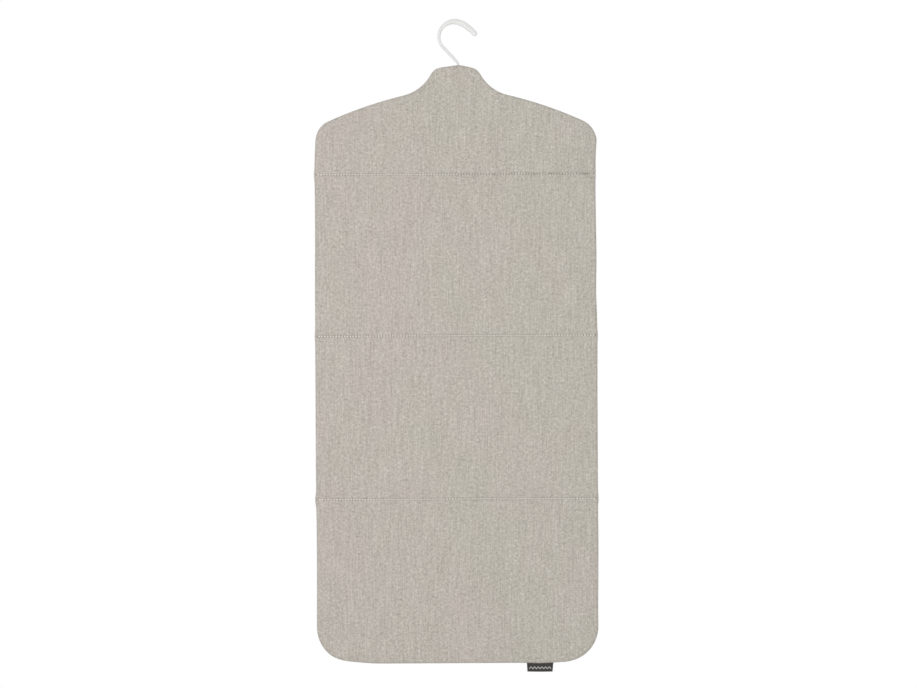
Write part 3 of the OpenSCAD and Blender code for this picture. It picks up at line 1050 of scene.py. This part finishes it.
def make_stitching(seam):
    """Two threads, one on each side, each bowed over its stitches and dipping into the needle holes."""
    holes = stitch_holes()
    x = np.linspace(holes[0], holes[-1], STEPS_PER_STITCH * (len(holes) - 1) + 1)
    phase = (x - holes[0]) / STITCH_PITCH
    bow = np.clip((np.abs(np.sin(np.pi * phase)) - 0.45) / 0.4, 0, 1)
    z = np.full_like(x, seam_z[seam - 1])
    stitch_x = np.floor(phase) * STITCH_PITCH
    wobble = THREAD_WOBBLE * smooth_noise(stitch_x, z, THREAD_NOISE_PITCH, 31 + seam)
    places, heights = zip(*THREAD_PROUD[seam])
    proud = np.interp((x + half_w) / (2 * half_w), places, heights) * MM
    uneven = THREAD_UNEVEN * smooth_noise(stitch_x, z, THREAD_NOISE_PITCH, 41 + seam)
    all_verts, all_faces, all_uv = [], [], []
    for side in SIDES:
        lift = proud + uneven if side == "front" else np.full_like(x, THREAD_PROUD_BEHIND)
        top = cloth_height(side, x, z) + lift
        low = cloth_height(side, x, z) - HOLE_DEPTH - THREAD_BELOW_HOLE
        height = low + (top - low) * bow
        real_x, real_z = settled(x, z + wobble * bow)
        line = np.column_stack([real_x, SIDES[side] * height, real_z])
        along = np.gradient(line, axis=0)
        along /= np.linalg.norm(along, axis=1)[:, None]
        radii = THREAD_R * (0.75 + 0.25 * bow)
        start = sum(len(v) for v in all_verts)
        turns = np.radians(np.arange(THREAD_SIDES) * 360 / THREAD_SIDES)
        verts = []
        for point, way, radius in zip(line, along, radii):
            up = np.array([0, 0, 1.0])
            out = np.cross(way, up)
            out /= np.linalg.norm(out)
            verts += [point + radius * (THREAD_FLAT * math.cos(t) * up + math.sin(t) * out) for t in turns]
        verts = np.array(verts)
        faces = facing_out(verts, tube_faces(len(line), THREAD_SIDES))
        all_verts.append(verts)
        all_faces += [tuple(i + start for i in f) for f in faces]
        all_uv.append(np.column_stack([np.repeat(x, THREAD_SIDES), np.tile(turns * THREAD_R, len(x))]))
    stitching = make_object(f"fold_stitching_{seam}_thread", np.concatenate(all_verts), all_faces,
                            np.concatenate(all_uv))
    finish_fold(stitching, "sewing_thread", f"fold_stitching_{seam}")


for seam in SEAMS:
    for side in SIDES:
        make_fold(seam, side)
    make_fold_padding(seam)
    make_stitching(seam)

# ---------------------------------------------------------------- hook

SEAT_R = 18.2
OUTER_R = 24.8
OUTER_CENTRE = np.array([2.2, 1.0])
HOOK_TIP = [(30.2, 5.0, 3.75), (24.1, 11.0, 3.95), (17.7, 16.1, 4.1), (10.9, 19.8, 4.15)]
HOOK_RUN = [(-8.2, -21.0, 2.15), (-2.0, -27.5, 2.2), (3.2, -33.4, 1.95), (5.7, -36.4, 1.7)]
HOOK_DEPTH = 2.45
SHANK_R = 1.6
SHANK_TOP = -39.6
HEAD_R = 2.8
HEAD_TOP = -73.0
HEAD_LOW = -74.5
HOOK_STEPS = 9
HOOK_SIDES = 36


def smooth_line(stops, steps):
    """A Catmull-Rom line through the stops, with steps between each two of them."""
    p = np.array([2 * stops[0] - stops[1], *stops, 2 * stops[-1] - stops[-2]])
    out = []
    for a, b, c, d in zip(p, p[1:], p[2:], p[3:]):
        for t in np.arange(steps) / steps:
            out.append(0.5 * (2 * b + (c - a) * t + (2 * a - 5 * b + 4 * c - d) * t ** 2
                              + (3 * b - a - 3 * c + d) * t ** 3))
    return np.array(out + [p[-2]])


def make_hook():
    """The hook: a crescent that is widest over the rail, with a thick round tip and a thin round shank."""
    stops = [np.array(p) for p in HOOK_TIP]
    for degrees in np.linspace(80, 225, 10):
        way = direction(degrees)
        reach = way @ OUTER_CENTRE
        outer = reach + math.sqrt(OUTER_R ** 2 - OUTER_CENTRE @ OUTER_CENTRE + reach ** 2)
        stops.append(np.array([*(way * (SEAT_R + outer) / 2), (outer - SEAT_R) / 2]))
    stops += [np.array(p) for p in HOOK_RUN]
    stops.append(np.array([shank_x / MM, SHANK_TOP, SHANK_R]))
    stops.append(np.array([shank_x / MM, SHANK_TOP - 4, SHANK_R]))
    stops = np.array(stops)
    path = smooth_line(stops, HOOK_STEPS)
    way = path[0, :2] - path[1, :2]
    way /= np.linalg.norm(way)
    tip, tip_r = path[0, :2], path[0, 2]
    rounded = [np.array([*(tip + way * tip_r * math.sin(a)), tip_r * math.cos(a)])
               for a in np.radians([84, 72, 60, 45, 30, 15])]
    path = np.concatenate([rounded, path])
    low = [(HEAD_TOP + 1.2, SHANK_R), (HEAD_TOP + 0.2, SHANK_R + 0.15), (HEAD_TOP, HEAD_R - 0.3),
           (HEAD_TOP - 0.3, HEAD_R), (HEAD_LOW + 0.4, HEAD_R), (HEAD_LOW + 0.05, HEAD_R - 0.4)]
    path = np.concatenate([path, [(shank_x / MM, z, r) for z, r in low]])
    line = np.column_stack([path[:, 0], np.zeros(len(path)), path[:, 1]])
    along = np.gradient(line, axis=0)
    along[:len(rounded)] = np.array([-way[0], 0, -way[1]])
    along[-len(low):] = np.array([0, 0, -1])
    along /= np.linalg.norm(along, axis=1)[:, None]
    normals = np.column_stack([along[:, 2], np.zeros(len(path)), -along[:, 0]])
    radii = path[:, 2]
    depths = np.minimum(radii, HOOK_DEPTH)
    cap = len(rounded)
    depths[:cap] = np.minimum(HOOK_DEPTH, tip_r) * np.sin(np.arccos(np.clip(
        np.linalg.norm(path[:cap, :2] - tip, axis=1) / tip_r, 0, 1))) ** 0.6
    depths[-len(low):] = radii[-len(low):]
    verts, faces = swept(line, normals, radii, depths, HOOK_SIDES, 0.72)
    hook = make_object("hook_enamelled", verts * MM, facing_out(verts, faces))
    finished(hook, "hook_enamel")
    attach(hook, "hook")
    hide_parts("hook")


make_hook()

# ---------------------------------------------------------------- label

RIBBON_T = 0.4 * MM
TAB_TAPER = 1.3 * MM
TAB_EXTRA = 1.1 * MM
TAB_COLUMNS = 36
TAB_MARKS_ABOVE_FOLD = 5.6 * MM


def make_label():
    """A ribbon folded into a loop, with its two ends sewn into the bottom seam."""
    low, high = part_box("label_tab")
    half = (high.x - low.x) / 2 + 0.4 * MM
    middle = (high.x + low.x) / 2 - 0.4 * MM
    bend = 0.5 * MM - 0.02 * MM
    top, bottom = high.z + TAB_EXTRA, low.z - TAB_EXTRA + bend
    down = [(-bend, top - (top - bottom) * t) for t in np.linspace(0, 1, 10)]
    turn = [(-bend * math.cos(a), bottom - bend * math.sin(a)) for a in np.radians(np.arange(18, 180, 18))]
    up = [(bend, bottom + (top - bottom) * t) for t in np.linspace(0, 1, 10)]
    path = down + turn + up
    lengths = np.concatenate([[0], np.cumsum([math.dist(a, b) for a, b in zip(path, path[1:])])])
    marks = top - bottom - TAB_MARKS_ABOVE_FOLD + bend
    verts, uv = [], []
    for (y, z), length in zip(path, lengths):
        fall = (top - z) / (top - bottom)
        for c in np.linspace(-1, 1, TAB_COLUMNS + 1):
            x = c * (half - TAB_TAPER * fall * (1 if c > 0 else 0.6))
            bow = 0.5 * MM * fall * math.sin(2.2 * c + 0.6)
            sag = 0.25 * MM * fall * math.cos(1.9 * c - 0.5)
            verts.append((middle + x, y + bow, z - sag))
            uv.append((x, marks - length))
    n = TAB_COLUMNS + 1
    faces = [(r * n + c, (r + 1) * n + c, (r + 1) * n + c + 1, r * n + c + 1)
             for r in range(len(path) - 1) for c in range(TAB_COLUMNS)]
    label = make_object("label_ribbon_loop", *thickened(np.array(verts), faces, np.array(uv), RIBBON_T))
    finished(label, "label_ribbon")
    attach(label, "lower")
    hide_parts("label_tab")


make_label()

# ---------------------------------------------------------------- stage, light and camera

floor_z = bottom_z - 160 * MM
mesh = bpy.data.meshes.new("floor")
floor_corners = [(-2, -3, floor_z), (2, -3, floor_z), (2, 0.8, floor_z), (-2, 0.8, floor_z)]
mesh.from_pydata(floor_corners, [], [(0, 1, 2, 3)])
floor = linked("floor", mesh)
floor.data.materials.append(floor_paint())

SKY = 0.68
world = bpy.data.worlds.new("studio")
bpy.context.scene.world = world
world.use_nodes = True
sky_nodes, sky_links = world.node_tree.nodes, world.node_tree.links
background = next(n for n in sky_nodes if n.type == "BACKGROUND")
backdrop = sky_nodes.new("ShaderNodeBackground")
chooser = sky_nodes.new("ShaderNodeMixShader")
rays = sky_nodes.new("ShaderNodeLightPath")
output = next(n for n in sky_nodes if n.type == "OUTPUT_WORLD")
for shade, strength in ((background, SKY), (backdrop, 1.0)):
    shade.inputs["Color"].default_value = (1, 1, 1, 1)
    shade.inputs["Strength"].default_value = strength
sky_links.new(rays.outputs["Is Camera Ray"], chooser.inputs[0])
sky_links.new(background.outputs[0], chooser.inputs[1])
sky_links.new(backdrop.outputs[0], chooser.inputs[2])
sky_links.new(chooser.outputs[0], output.inputs["Surface"])


def area_light(name, place, target, size, power):
    light = bpy.data.lights.new(name, "AREA")
    light.shape = "DISK"
    light.size = size
    light.energy = power
    obj = linked(name, light)
    obj.location = place
    obj.rotation_euler = (Vector(target) - Vector(place)).to_track_quat("-Z", "Y").to_euler()


area_light("key", (-0.8, -2.7, -0.25), (0, 0, -0.55), 1.6, 29.4)
area_light("fill", (1.3, -2.7, -0.85), (0, 0, -0.5), 1.6, 9.4)
area_light("rear", (0.6, 2.7, 0.2), (0, 0, -0.45), 1.6, 30)

VIEW_CENTRE = Vector((5.0 * MM, 0, -435.3 * MM))
VIEW_WIDTH = 1300.7 * MM
LENS = 100
SENSOR = 36
ROLL_DEGREES = 0.3

camera_data = bpy.data.cameras.new("camera")
camera_data.lens = LENS
camera_data.sensor_width = SENSOR
camera = linked("camera", camera_data)
camera.location = VIEW_CENTRE + Vector((0, -VIEW_WIDTH * LENS / SENSOR, 0))
camera.rotation_euler = (math.radians(90), math.radians(ROLL_DEGREES), 0)
bpy.context.scene.camera = camera
bpy.context.scene.view_settings.view_transform = "Standard"

for name, node in frame["nodes"].items():
    slot = next(s["material_slot"] for s in frame["record"]["subparts"] if s["node"] == name)
    finished(node, slot)
